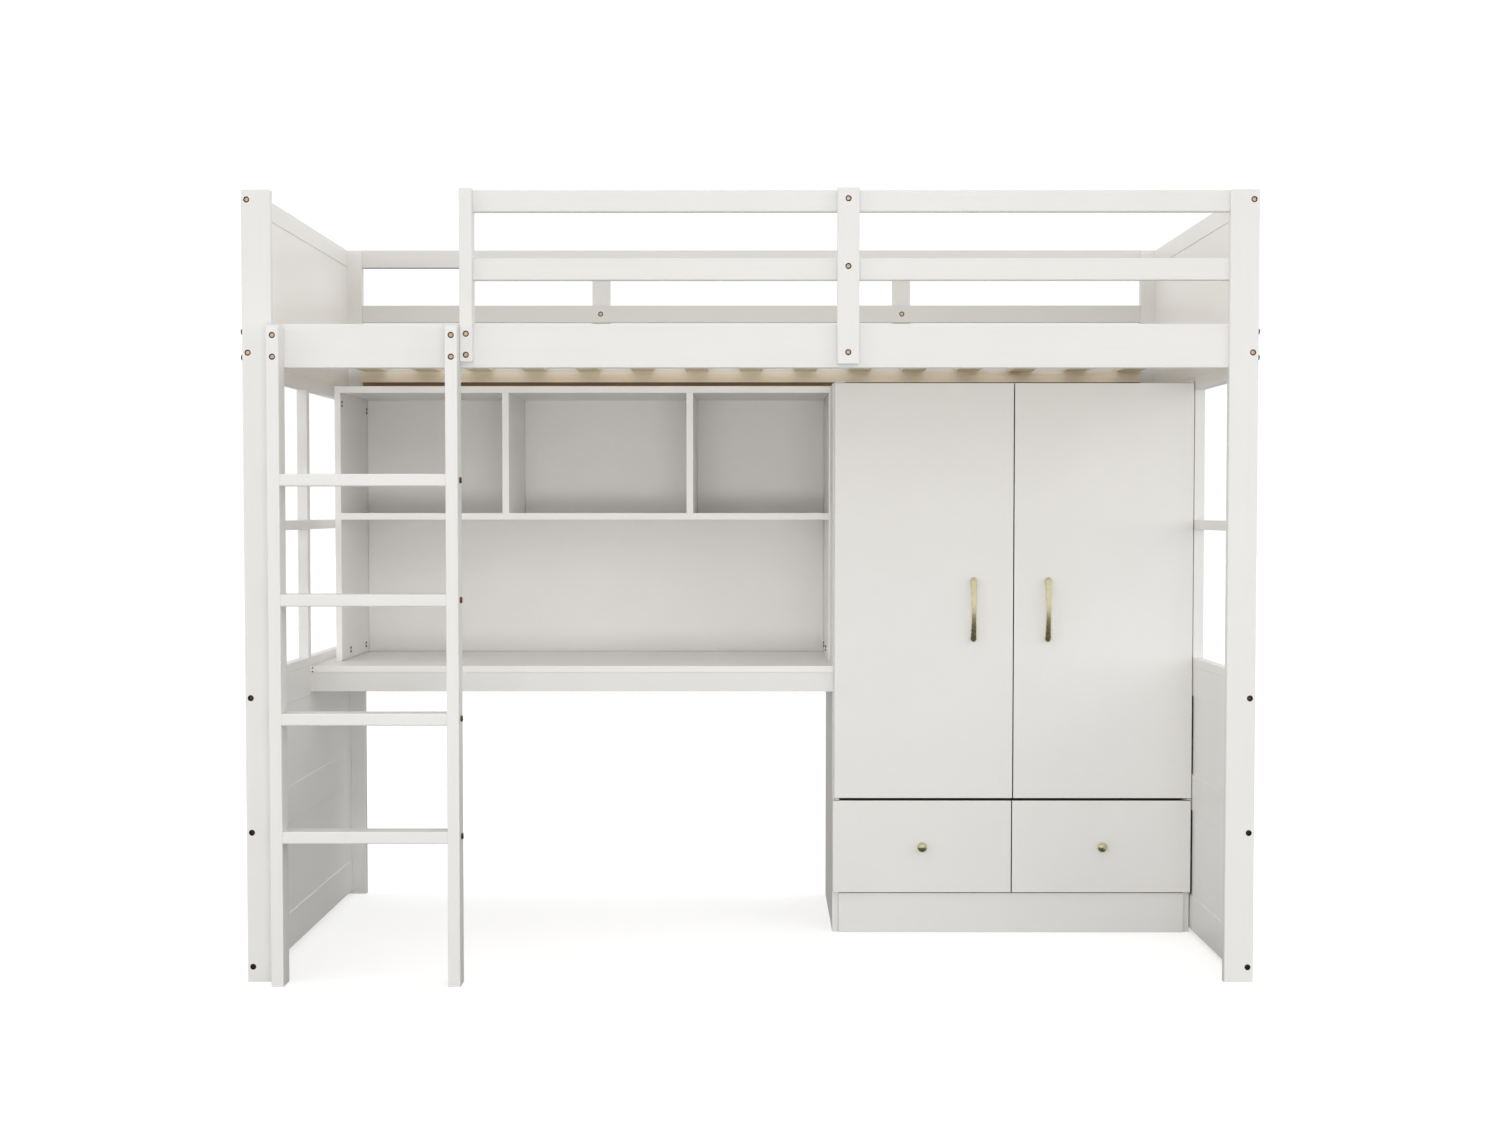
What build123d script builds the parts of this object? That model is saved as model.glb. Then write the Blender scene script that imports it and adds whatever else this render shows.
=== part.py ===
from build123d import *
import os

# Loft bed over a desk, a hutch and a wardrobe.  Millimetres, +Z up.
# X runs along the bed, the desk side is -X and the wardrobe side is +X.
# The ladder and the doors face -Y.  Z = 0 is the floor under the posts.
# Depths below are measured back from the front face of the front posts and
# moved by Y_FRONT, so that the origin is the centre of the footprint.

# ---------------------------------------------------------------- sizes
Y_FRONT = -505.5          # front face of the front posts
BED_HALF = 993.5          # half of the overall length
POST_W = 57.0             # post, along X
POST_T = 22.0             # post, along Y
POST_H = 1557.0
POST_IN = BED_HALF - POST_W
BACK_D = 1015.0           # front face of the back posts
REAR_D = BACK_D + POST_T  # rear face of the back posts
END_T = 22.5              # end frame thickness, along X
END_IN = BED_HALF - END_T
PANEL_T = 9.0             # thin end panels
PANEL_IN = 973.0          # inner face of the end panels
GROOVE = 6.0              # how far a panel enters the rails
GROOVE_P = 3.0            # how far it enters the posts
EASE = 2.6                # eased edges of the solid wood
EASE_S = 0.8              # eased edges of the faced boards

BOTTOM_RAIL = (8.0, 84.0)
MID_RAIL = (272.0, 352.0)
WIDE_LOW = (525.0, 590.5)
SILL = (590.5, 609.0)
TRANSOM = (890.5, 911.0)
HEAD = (1195.5, 1223.5)
WIDE_UP = (1223.5, 1283.0)
TOP_RAIL = (1517.0, 1557.0)
MULLION = (512.0, 540.0)  # depth range

RAIL_D = (9.0, 31.0)      # front rails, depth
BED_RAIL = (1211.0, 1297.0)
GUARD_LOW = (1382.0, 1425.0)
GUARD_TOP = (1515.0, 1557.0)
BACK_LOW = (1384.0, 1425.0)
LAP_D = (-13.0, 9.0)      # boards lapped over the front rails
END_POST_X = (-566.5, -541.5)
CENTRE_X = (170.0, 213.0)
SUPPORT_X = (341.0, 384.0)

LEDGER_Z = (1239.0, 1265.0)
SLAT_Z = (1265.0, 1280.0)
SLAT_W = 54.0
SLAT_PITCH = 129.0
SLAT_COUNT = 15

STILE_L = (-936.5, -912.5)
STILE_R = (-590.5, -566.5)
STILE_D = (-48.0, 9.0)
STILE_H = 1292.0
RUNG_D = (-46.0, 7.0)
RUNG_TOPS = (305.0, 536.5, 769.0, 1003.0)
RUNG_H = 24.0
RUNG_BOLT_D = -19.5
SIDE_HEAD = 4.6           # side bolt heads stand proud by this

BOARD = 15.0
DESK_X = (-971.0, 180.5)
DESK_D = (528.0, 1036.5)
DESK_Z = (574.5, 589.5)
APRON_Z = (533.0, 574.5)
APRON_BACK = 1.3          # apron behind the desk top's edge

HUTCH_D = (684.0, 1033.5)
HUTCH_L = (-943.0, -929.5)
HUTCH_R = (176.5, 180.5)
HUTCH_TOP = (1198.0, 1213.0)
HUTCH_SHELF = (911.0, 926.0)
DIVIDERS = ((-563.3, -548.3), (-145.9, -130.9))

WARD_X = (180.5, 969.0)
WARD_D = (528.0, 1010.0)
WARD_H = 1211.0
SIDE_T = 13.5             # wardrobe sides
INSET = 35.0              # deck and partition behind the sides' front edges
PLINTH_D = 520.5          # front face of the plinth
FRONT_D = (510.8, 525.8)
DECK_Z = (289.0, 304.0)
PLINTH_H = 88.0
BASE_Z = (73.0, 88.0)
PART_X = (567.0, 582.0)
DOOR_Z = (299.5, 1209.5)
DRAWER_Z = (91.0, 293.8)
DOOR_L = (184.0, 575.2)
DOOR_R = (577.6, 969.2)
DRAWER_L = (181.0, 573.1)
DRAWER_R = (575.5, 968.5)

PIVOT_D = 515.0           # hinge axis depth
PIVOT_L = 190.0
PIVOT_R = 963.7
PIN_R = 2.0
PIN_HOLE_R = 2.05

HANDLE_L = 488.0
HANDLE_R = 651.0
HANDLE_Z = (644.5, 785.5)
HANDLE_W = (13.8, 10.4)   # strap width at its ends and in the middle
HANDLE_OUT = (12.5, 24.5) # strap front at its ends and in the middle
HANDLE_T = 5.0
HANDLE_POST = 63.6        # from the middle of the strap to each post
KNOB_L = 376.9
KNOB_R = 772.5
KNOB_Z = 192.5
KNOB_OUT = 22.0

RUNNER_GAP = 12.7
BOX_T = 12.0
BOX_D = (525.8, 975.8)
BOX_Z = (103.0, 233.0)

os.makedirs("parts", exist_ok=True)


# ---------------------------------------------------------------- helpers
def blk(x, d, z):
    """Box between two X, two depths and two heights."""
    return Pos((x[0] + x[1]) / 2, Y_FRONT + (d[0] + d[1]) / 2, (z[0] + z[1]) / 2) * Box(
        x[1] - x[0], d[1] - d[0], z[1] - z[0])


def ease(part, axis, r, pick=None):
    """Round the edges that run along one axis; pick keeps only some of them."""
    es = part.edges().filter_by(axis)
    if pick is not None:
        es = es.filter_by(pick)
    return fillet(es, r)


def member(x, d, z, axis, r=EASE):
    return ease(blk(x, d, z), axis, r)


def board(x, d, z, axis, r=EASE_S):
    """A faced board with only its two front edges eased."""
    b = blk(x, d, z)
    y0 = Y_FRONT + d[0]
    return ease(b, axis, r, lambda e: abs(e.center().Y - y0) < 0.01)


def cyl(p, direction, r, length):
    """Cylinder from point p (x, depth, z) along a direction."""
    x, d, z = p
    return Plane(origin=(x, Y_FRONT + d, z), z_dir=direction) * Cylinder(
        r, length, align=(Align.CENTER, Align.CENTER, Align.MIN))


def mirror_x(x):
    return (-x[1], -x[0])


def solids(*parts):
    out = []
    for p in parts:
        out.extend(p.solids())
    return Compound(out)


HOLES = []                # every screw hole, taken out of what it crosses
NODES = {}


def add(name, part):
    NODES[name] = part


def drill(part):
    box = part.bounding_box()
    for h, hb in HOLES:
        if (hb.min.X < box.max.X and hb.max.X > box.min.X and hb.min.Y < box.max.Y
                and hb.max.Y > box.min.Y and hb.min.Z < box.max.Z and hb.max.Z > box.min.Z):
            part = part - h
    return part


def bolt(p, direction, shank, head_r=4.4, head_t=2.4, r=3.0, sink=3.4, bore_r=6.0):
    """Domed-edge bolt whose head bears on the face at p; direction points into
    the wood.  sink > 0 sets the head into a counterbore of that depth."""
    v = Vector(*direction)
    x, d, z = p
    o = Vector(x, Y_FRONT + d, z)
    start = o + v * (sink - head_t if sink else -head_t)
    bearing = o + v * sink

    def c(at, rr, ln):
        return Plane(origin=at, z_dir=v) * Cylinder(rr, ln, align=(Align.CENTER, Align.CENTER, Align.MIN))

    head = c(start, head_r, head_t)
    top = [e for e in head.edges().filter_by(GeomType.CIRCLE)
           if (e.arc_center - start).length < 0.05]
    head = fillet(top, min(1.3, head_t - 0.4))
    # hexagon key recess
    head = head - (Plane(origin=start, z_dir=v) * extrude(RegularPolygon(2.3, 6), amount=1.0))
    body = head + c(bearing, r, shank)
    hole = c(bearing - v * 0.001, r + 0.25, shank + 1.0)
    HOLES.append((hole, hole.bounding_box()))
    if sink:
        bore = c(o - v * 0.5, bore_r, sink + 0.5)
        HOLES.append((bore, bore.bounding_box()))
    return body


# ---------------------------------------------------------------- fasteners
upper = []
sides = []
for sx in (-1, 1):
    for z in (1537.8, 1240.3):
        upper.append(bolt((sx * 982.5, 0.0, z), (0, 1, 0), 55))
        upper.append(bolt((sx * 982.5, REAR_D, z), (0, -1, 0), 55))
    for z in (1282.0, 1231.6):
        for d in (15.5, REAR_D - 11.0):
            sides.append(bolt((sx * BED_HALF, d, z), (-sx, 0, 0), 95, head_r=5.3, head_t=SIDE_HEAD, sink=0.0))
for z in (1538.0, 1407.0, 1240.0):
    upper.append(bolt((191.5, LAP_D[0], z), (0, 1, 0), 38))
for z in (1276.0, 1235.0):
    upper.append(bolt((-554.0, LAP_D[0], z), (0, 1, 0), 38))
for sx in (-1, 1):
    upper.append(bolt((sx * 362.5, BACK_D, 1404.5), (0, 1, 0), 36))
    for z in (1536.0, 1275.0, 1233.0):
        upper.append(bolt((sx * 362.5, REAR_D + 22.0, z), (0, -1, 0), 34))
add("upper_frame_bolts", solids(*upper))
add("side_frame_bolts", solids(*sides))

lower = []
for sx in (-1, 1):
    for z in (562.7, 296.7, 30.3):
        lower.append(bolt((sx * 982.5, 0.0, z), (0, 1, 0), 50, head_t=3.0, sink=7.0))
        lower.append(bolt((sx * 982.5, REAR_D, z), (0, -1, 0), 50, head_t=3.0, sink=7.0))
add("lower_frame_bolts", solids(*lower))

lad = []
for xs in (STILE_L, STILE_R):
    for z in (1270.8, 1229.0):
        lad.append(bolt(((xs[0] + xs[1]) / 2, STILE_D[0], z), (0, 1, 0), 55.2))
for zt in RUNG_TOPS:
    for x, sx in ((STILE_L[0], 1), (STILE_R[1], -1)):
        lad.append(bolt((x, RUNG_BOLT_D, zt - RUNG_H / 2), (sx, 0, 0), 52, head_r=6.0, head_t=4.0, sink=0.0))
add("ladder_bolts", solids(*lad))

# ---------------------------------------------------------------- end frames
for side, sx in (("left", -1), ("right", 1)):
    def X(a, b):
        return (a, b) if sx > 0 else (-b, -a)

    run = (POST_T, BACK_D)
    panels = []
    for z in ((BOTTOM_RAIL[1], MID_RAIL[0]), (MID_RAIL[1], WIDE_LOW[0]), (WIDE_UP[1], TOP_RAIL[0])):
        panels.append(blk(X(PANEL_IN, PANEL_IN + PANEL_T),
                          (run[0] - GROOVE_P, run[1] + GROOVE_P), (z[0] - GROOVE, z[1] + GROOVE)))
    rails = []
    for z in (BOTTOM_RAIL, MID_RAIL, WIDE_LOW, WIDE_UP, TOP_RAIL):
        rails.append(member(X(END_IN, BED_HALF), run, z, Axis.Y, 1.6))
    for z in (SILL, HEAD):
        rails.append(member(X(END_IN, BED_HALF), run, z, Axis.Y, 1.2))
    for p in panels:
        rails = [r - p for r in rails]
    add(side + "_end_rails", solids(*[drill(r) for r in rails]))
    add(side + "_end_panels", solids(*panels))
    mull = member(X(END_IN, BED_HALF), MULLION, (SILL[1], HEAD[0]), Axis.Z, 1.6)
    bars = [mull]
    for d in ((run[0], MULLION[0]), (MULLION[1], run[1])):
        bars.append(member(X(END_IN, BED_HALF), d, TRANSOM, Axis.Y, 1.6))
    add(side + "_window_bars", solids(*bars))
    for place, d in (("front", (0.0, POST_T)), ("back", (BACK_D, REAR_D))):
        post = blk(X(POST_IN, BED_HALF), d, (0.0, POST_H))
        post = ease(post, Axis.Z, EASE)
        post = fillet(post.faces().sort_by(Axis.Z)[-1].edges(), 1.5)
        for p in panels:
            post = post - p
        add("post_%s_%s" % (place, side), drill(post))

# ---------------------------------------------------------------- bed frame
long_x = (-POST_IN, POST_IN)
add("front_bed_rail", drill(member(long_x, RAIL_D, BED_RAIL, Axis.X)))
add("back_bed_rail", drill(member(long_x, (BACK_D, REAR_D), BED_RAIL, Axis.X)))
add("slat_ledgers", drill(solids(
    blk((-935.0, 935.0), (RAIL_D[1], 58.0), LEDGER_Z)
    + blk((-935.0, 935.0), (RAIL_D[1], 40.0), (1222.0, LEDGER_Z[0])),
    blk((-935.0, 935.0), (988.0, BACK_D), LEDGER_Z)
    + blk((-935.0, 935.0), (1006.0, BACK_D), (1222.0, LEDGER_Z[0])))))
slats = []
for i in range(SLAT_COUNT):
    c = (i - (SLAT_COUNT - 1) / 2) * SLAT_PITCH
    slats.append(member((c - SLAT_W / 2, c + SLAT_W / 2), (32.0, 1014.0), SLAT_Z, Axis.Y, 1.2))
add("bed_slats", solids(*slats))

guard_x = (END_POST_X[1], POST_IN)
add("guard_top_rail", drill(member(guard_x, RAIL_D, GUARD_TOP, Axis.X)))
add("guard_lower_rail", drill(member(guard_x, RAIL_D, GUARD_LOW, Axis.X)))
end_post = blk(END_POST_X, (LAP_D[0], RAIL_D[1]), (1222.0, 1558.5))
end_post = end_post - blk(END_POST_X, RAIL_D, (1200.0, BED_RAIL[1]))
front_edges = end_post.edges().filter_by(Axis.Z).filter_by(
    lambda e: abs(e.center().Y - (Y_FRONT + LAP_D[0])) < 0.01)
end_post = fillet(front_edges, EASE)
end_post = fillet(end_post.faces().sort_by(Axis.Z)[-1].edges(), 1.2)
add("guard_end_post", drill(end_post))
centre = member(CENTRE_X, LAP_D, (1218.0, 1559.0), Axis.Z)
centre = fillet(centre.faces().sort_by(Axis.Z)[-1].edges(), 1.2)
add("guard_center_board", drill(centre))
add("back_guard_rails", drill(solids(*[
    ease(member(long_x, (BACK_D, REAR_D), z, Axis.X, 1.6), Axis.Z, 1.2)
    for z in (BACK_LOW, GUARD_TOP)])))
add("back_guard_supports", drill(solids(*[
    member(sx, (REAR_D, REAR_D + 22.0), (1218.0, 1557.0), Axis.Z)
    for sx in (SUPPORT_X, mirror_x(SUPPORT_X))])))

# ---------------------------------------------------------------- ladder
for name, xs in (("ladder_left_stile", STILE_L), ("ladder_right_stile", STILE_R)):
    s = blk(xs, STILE_D, (0.0, STILE_H))
    top = s.edges().filter_by(Axis.X).filter_by(lambda e: e.center().Z > STILE_H - 1)
    s = fillet(top, 12.0)
    s = fillet(s.edges().filter_by(Axis.Z), 2.0)
    add(name, drill(s))
rungs = []
for zt in RUNG_TOPS:
    rungs.append(member((STILE_L[1], STILE_R[0]), RUNG_D, (zt - RUNG_H, zt), Axis.X, 3.0))
add("ladder_rungs", drill(solids(*rungs)))

# ---------------------------------------------------------------- desk
desk = board(DESK_X, DESK_D, DESK_Z, Axis.X, 1.4)
desk = desk - blk((-980.0, -POST_IN), (BACK_D, 1040.0), (560.0, 600.0))
add("desk_top", desk)
add("desk_frame", solids(
    board(DESK_X, (DESK_D[0] + APRON_BACK, DESK_D[0] + BOARD), APRON_Z, Axis.X),
    blk(DESK_X, (999.5, 1014.5), APRON_Z),
    blk((DESK_X[0], DESK_X[0] + 20), (DESK_D[0] + BOARD, 999.5), (545.0, 574.5)),
    blk((DESK_X[1] - 20, DESK_X[1]), (DESK_D[0] + BOARD, 999.5), (545.0, 574.5))))

# ---------------------------------------------------------------- hutch
# behind the front plane of the back posts everything stays under the bed rail
under_rail = blk((-1000.0, 200.0), (BACK_D - 1.0, 1040.0), (1210.0, 1230.0))
beside_post = blk((-960.0, -POST_IN), (BACK_D - 1.0, 1040.0), (580.0, 1230.0))
left = board(HUTCH_L, HUTCH_D, (DESK_Z[1], HUTCH_TOP[1]), Axis.Z) - under_rail - beside_post
# shadow grooves where the hutch boards meet each other, the desk and the back
left = left - blk((HUTCH_L[1] - 2.5, HUTCH_L[1]), HUTCH_D, (DESK_Z[1], DESK_Z[1] + 1.3))
add("hutch_left_side", left)
add("hutch_right_side", board(HUTCH_R, HUTCH_D, (DESK_Z[1], HUTCH_TOP[1]), Axis.Z) - under_rail)
inner = (HUTCH_L[1], HUTCH_R[0])
hutch_top = board(inner, HUTCH_D, HUTCH_TOP, Axis.X) - under_rail
hutch_top = ease(hutch_top, Axis.Z, EASE_S, lambda e: abs(e.center().Y - (Y_FRONT + HUTCH_D[0])) < 1.0)
for gx in (HUTCH_L[1], HUTCH_R[0] - 1.4):
    hutch_top = hutch_top - blk((gx, gx + 1.4), (HUTCH_D[0] + 2.0, HUTCH_D[1]), (HUTCH_TOP[0], HUTCH_TOP[0] + 2.5))
add("hutch_top", hutch_top)
add("hutch_shelf", board(inner, HUTCH_D, HUTCH_SHELF, Axis.X))
add("hutch_dividers", solids(*[
    board(x, HUTCH_D, (HUTCH_SHELF[1], HUTCH_TOP[0]), Axis.Z) for x in DIVIDERS]))
back = blk((-POST_IN, HUTCH_R[1]), (HUTCH_D[1], HUTCH_D[1] + 3.0), (DESK_Z[1], 1210.0))
for x in (HUTCH_L[1], DIVIDERS[0][1], DIVIDERS[1][1], HUTCH_R[0] - 1.8):
    back = back - blk((x, x + 1.8), (HUTCH_D[1], HUTCH_D[1] + 2.3),
                      (DESK_Z[1] if abs(x) > 600 or x > 0 else HUTCH_SHELF[1], 1210.0))
back = back - blk(inner, (HUTCH_D[1], HUTCH_D[1] + 2.3), (DESK_Z[1], DESK_Z[1] + 2.0))
add("hutch_back", back)
screws = []


def screw_head(p, direction):
    """Pan head of a connector screw, standing on a board's face."""
    x, d, z = p
    head = cyl(p, direction, 3.0, 1.2)
    return head + Plane(origin=(x + 1.2 * direction[0], Y_FRONT + d, z), z_dir=direction) * Cone(
        3.0, 2.0, 0.7, align=(Align.CENTER, Align.CENTER, Align.MIN))


for d, z in ((700.0, 1173.5), (1020.0, 1171.5), (790.0, 609.6), (992.0, 609.3)):
    for dz in (-4.2, 4.2):
        screws.append(screw_head((HUTCH_L[1], d, z + dz), (1, 0, 0)))
for d, z in ((866.0, 608.0), (1020.0, 608.0)):
    for dz in (-4.2, 4.2):
        screws.append(screw_head((HUTCH_R[0], d, z + dz), (-1, 0, 0)))
for z in (585.0, 577.0):
    screws.append(cyl((-966.0, DESK_D[0], z), (0, -1, 0), 1.6, 0.5))
add("hutch_screws", solids(*screws))

# ---------------------------------------------------------------- wardrobe
ward_in = (WARD_X[0] + SIDE_T, WARD_X[1] - SIDE_T)
add("wardrobe_left_side", board((WARD_X[0], ward_in[0]), WARD_D, (0.0, WARD_H), Axis.Z, 0.6))
add("wardrobe_right_side", board((ward_in[1], WARD_X[1]), WARD_D, (0.0, WARD_H), Axis.Z, 0.6))
add("wardrobe_top", blk(ward_in, WARD_D, (WARD_H - BOARD, WARD_H)))
add("wardrobe_deck", blk(ward_in, (WARD_D[0] + INSET, WARD_D[1]), DECK_Z))
add("wardrobe_base", blk(ward_in, (PLINTH_D + BOARD, WARD_D[1]), BASE_Z))
add("wardrobe_partition", blk(PART_X, (WARD_D[0] + INSET, WARD_D[1]), (PLINTH_H, DECK_Z[0])))
plinth = board(ward_in, (PLINTH_D, PLINTH_D + BOARD), (0.0, PLINTH_H), Axis.X)
add("wardrobe_plinth", ease(plinth, Axis.Z, EASE_S, lambda e: abs(e.center().Y - (Y_FRONT + PLINTH_D)) < 1.0))
add("wardrobe_back", blk(WARD_X, (WARD_D[1], WARD_D[1] + 3.0), (0.0, WARD_H)))
ROD_D, ROD_Z, ROD_R = 770.0, 1135.0, 11.0
rod = cyl((ward_in[0] + 3.0, ROD_D, ROD_Z), (1, 0, 0), ROD_R, ward_in[1] - ward_in[0] - 6.0)
rod = rod - cyl((ward_in[0], ROD_D, ROD_Z), (1, 0, 0), ROD_R - 1.5, ward_in[1] - ward_in[0])


def socket(x, sx):
    """Flanged cup that holds one end of the hanging rod."""
    s = cyl((x, ROD_D, ROD_Z), (sx, 0, 0), 19.0, 3.0) + cyl((x, ROD_D, ROD_Z), (sx, 0, 0), 14.5, 16.0)
    return s - cyl((x + sx * 3.0, ROD_D, ROD_Z), (sx, 0, 0), ROD_R, 20.0)


add("hanging_rod", solids(rod, socket(ward_in[0], 1), socket(ward_in[1], -1)))

# pivot hinges: a plate on the carcass top and an angle bracket on the side's
# front edge, each with a pin into the end of the door
plates = []
for px, sx in ((PIVOT_L, 1), (PIVOT_R, -1)):
    def X(a, b):
        return (px + a, px + b) if sx > 0 else (px - b, px - a)

    top = blk(X(-5.3, 16.0), (PIVOT_D - 3.0, 575.0), (WARD_H, WARD_H + 2.0))
    top = fillet(top.edges().filter_by(Axis.Z), 2.0)
    top = top + cyl((px, PIVOT_D, WARD_H - 12.0), (0, 0, 1), PIN_R, 13.0)
    low = blk(X(-5.3, 5.0), (526.4, 528.0), (262.0, 297.5))
    low = low + blk(X(-5.3, 5.0), (PIVOT_D - 3.0, 528.0), (295.7, 297.5))
    low = low + cyl((px, PIVOT_D, 296.0), (0, 0, 1), PIN_R, 14.0)
    plates += [top, low]
add("door_pivot_plates", solids(*plates))

# ---------------------------------------------------------------- doors
for side, xs, px in (("left", DOOR_L, PIVOT_L), ("right", DOOR_R, PIVOT_R)):
    door = blk(xs, FRONT_D, DOOR_Z)
    door = fillet(door.faces().sort_by(Axis.Y)[0].edges(), EASE_S)
    door = door - cyl((px, PIVOT_D, DOOR_Z[1] - 12.5), (0, 0, 1), PIN_HOLE_R, 20.0)
    door = door - cyl((px, PIVOT_D, DOOR_Z[0] - 5.0), (0, 0, 1), PIN_HOLE_R, 18.0)
    add(side + "_door", door)

    hx = HANDLE_L if side == "left" else HANDLE_R
    y = Y_FRONT + FRONT_D[0]
    z0, z1 = HANDLE_Z
    zm = (z0 + z1) / 2
    o0, o1 = HANDLE_OUT
    outer = ThreePointArc((y - o0, z0), (y - o1, zm), (y - o0, z1))
    inner_arc = ThreePointArc((y - o0 + HANDLE_T, z1), (y - o1 + HANDLE_T, zm), (y - o0 + HANDLE_T, z0))
    profile = make_face(Wire([outer, Line((y - o0, z1), (y - o0 + HANDLE_T, z1)), inner_arc,
                              Line((y - o0 + HANDLE_T, z0), (y - o0, z0))]))
    strap = extrude(Plane.YZ * profile, amount=HANDLE_W[0] / 2, both=True)
    # seen from the front the strap narrows to its middle and has round ends
    w0, w1 = HANDLE_W[0] / 2, HANDLE_W[1] / 2
    shape = make_face(Wire([
        ThreePointArc((-w0, z1 - w0), (0, z1), (w0, z1 - w0)),
        ThreePointArc((w0, z1 - w0), (w1, zm), (w0, z0 + w0)),
        ThreePointArc((w0, z0 + w0), (0, z0), (-w0, z0 + w0)),
        ThreePointArc((-w0, z0 + w0), (-w1, zm), (-w0, z1 - w0))]))
    strap = strap & (Pos(0, y - 5.0, 0) * extrude(Plane.XZ * shape, amount=40.0))
    front_face = [f for f in strap.faces() if abs(f.center().X) < 0.1
                  and f.center().Y < y - o0 - 3.0 and f.area > 600]
    strap = fillet(front_face[0].edges(), 1.4)
    bow = strap
    for z in (zm - HANDLE_POST, zm + HANDLE_POST):
        bow = bow + cyl((0.0, FRONT_D[0], z), (0, -1, 0), 3.5, o0 - 1.5)
    add(side + "_handle", Pos(hx, 0, 0) * bow)

# ---------------------------------------------------------------- drawers
for side, xs, kx, bay in (("left", DRAWER_L, KNOB_L, (ward_in[0], PART_X[0])),
                          ("right", DRAWER_R, KNOB_R, (PART_X[1], ward_in[1]))):
    front = blk(xs, FRONT_D, DRAWER_Z)
    front = fillet(front.faces().sort_by(Axis.Y)[0].edges(), EASE_S)
    add(side + "_drawer_front", front)
    bx = (bay[0] + RUNNER_GAP, bay[1] - RUNNER_GAP)
    walls = [
        blk((bx[0], bx[0] + BOX_T), BOX_D, BOX_Z),
        blk((bx[1] - BOX_T, bx[1]), BOX_D, BOX_Z),
        blk((bx[0] + BOX_T, bx[1] - BOX_T), (BOX_D[0], BOX_D[0] + BOX_T), BOX_Z),
        blk((bx[0] + BOX_T, bx[1] - BOX_T), (BOX_D[1] - BOX_T, BOX_D[1]), BOX_Z)]
    bottom = blk((bx[0] + BOX_T - 5.0, bx[1] - BOX_T + 5.0),
                 (BOX_D[0] + BOX_T - 5.0, BOX_D[1] - BOX_T + 5.0), (BOX_Z[0] + 10.0, BOX_Z[0] + 14.0))
    add(side + "_drawer_box", solids(*([w - bottom for w in walls] + [bottom])))
    knob = Cylinder(6.5, 1.5, align=(Align.CENTER, Align.CENTER, Align.MIN))
    knob += Cylinder(4.0, 12.0, align=(Align.CENTER, Align.CENTER, Align.MIN))
    knob += Pos(0, 0, 11) * Cone(4.0, 10.75, 3.0, align=(Align.CENTER, Align.CENTER, Align.MIN))
    head = Pos(0, 0, 14) * Cylinder(10.75, KNOB_OUT - 14, align=(Align.CENTER, Align.CENTER, Align.MIN))
    knob += head & (Pos(0, 0, 8.744) * Sphere(13.256))
    add(side + "_drawer_knob", Plane(origin=(kx, Y_FRONT + FRONT_D[0], KNOB_Z), z_dir=(0, -1, 0)) * knob)

    # drawer half of the runners: a small channel inside the cabinet half
    zc = 160.0
    halves = []
    for x0, sx in ((bay[0], 1), (bay[1], -1)):
        def R(a, b, d, z):
            return blk((x0 + a, x0 + b) if sx > 0 else (x0 - b, x0 - a), d, z)

        web = R(RUNNER_GAP - 1.5, RUNNER_GAP, (530.0, 970.0), (zc - 19.5, zc + 19.5))
        up = R(3.0, RUNNER_GAP - 1.5, (530.0, 970.0), (zc + 18.0, zc + 19.5))
        dn = R(3.0, RUNNER_GAP - 1.5, (530.0, 970.0), (zc - 19.5, zc - 18.0))
        halves.append(web + up + dn)
    add(side + "_drawer_runners", solids(*halves))

zc = 160.0
fixed = []
for x0, sx in ((ward_in[0], 1), (PART_X[0], -1), (PART_X[1], 1), (ward_in[1], -1)):
    def R(a, b, d, z):
        return blk((x0 + a, x0 + b) if sx > 0 else (x0 - b, x0 - a), d, z)

    web = R(0.0, 1.5, (531.0, 980.0), (zc - 22.0, zc + 22.0))
    up = R(1.5, 10.0, (531.0, 980.0), (zc + 20.5, zc + 22.0))
    dn = R(1.5, 10.0, (531.0, 980.0), (zc - 22.0, zc - 20.5))
    fixed.append(web + up + dn)
add("cabinet_runners", solids(*fixed))

# ---------------------------------------------------------------- write
for name, part in NODES.items():
    export_step(part if isinstance(part, (Compound, Solid)) else Compound(part.solids()),
                "parts/%s.step" % name)
    bb = part.bounding_box()
    print("%-24s %2d solids  X %8.1f %8.1f  Y %8.1f %8.1f  Z %8.1f %8.1f" % (
        name, len(part.solids()), bb.min.X, bb.max.X, bb.min.Y, bb.max.Y, bb.min.Z, bb.max.Z))
whole = Compound([s for p in NODES.values() for s in p.solids()]).bounding_box()
print(len(NODES), "nodes, size", whole.size, "from", whole.min, "to", whole.max)
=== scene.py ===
import math
import bpy
import bmesh
from mathutils import Matrix, Vector


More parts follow.
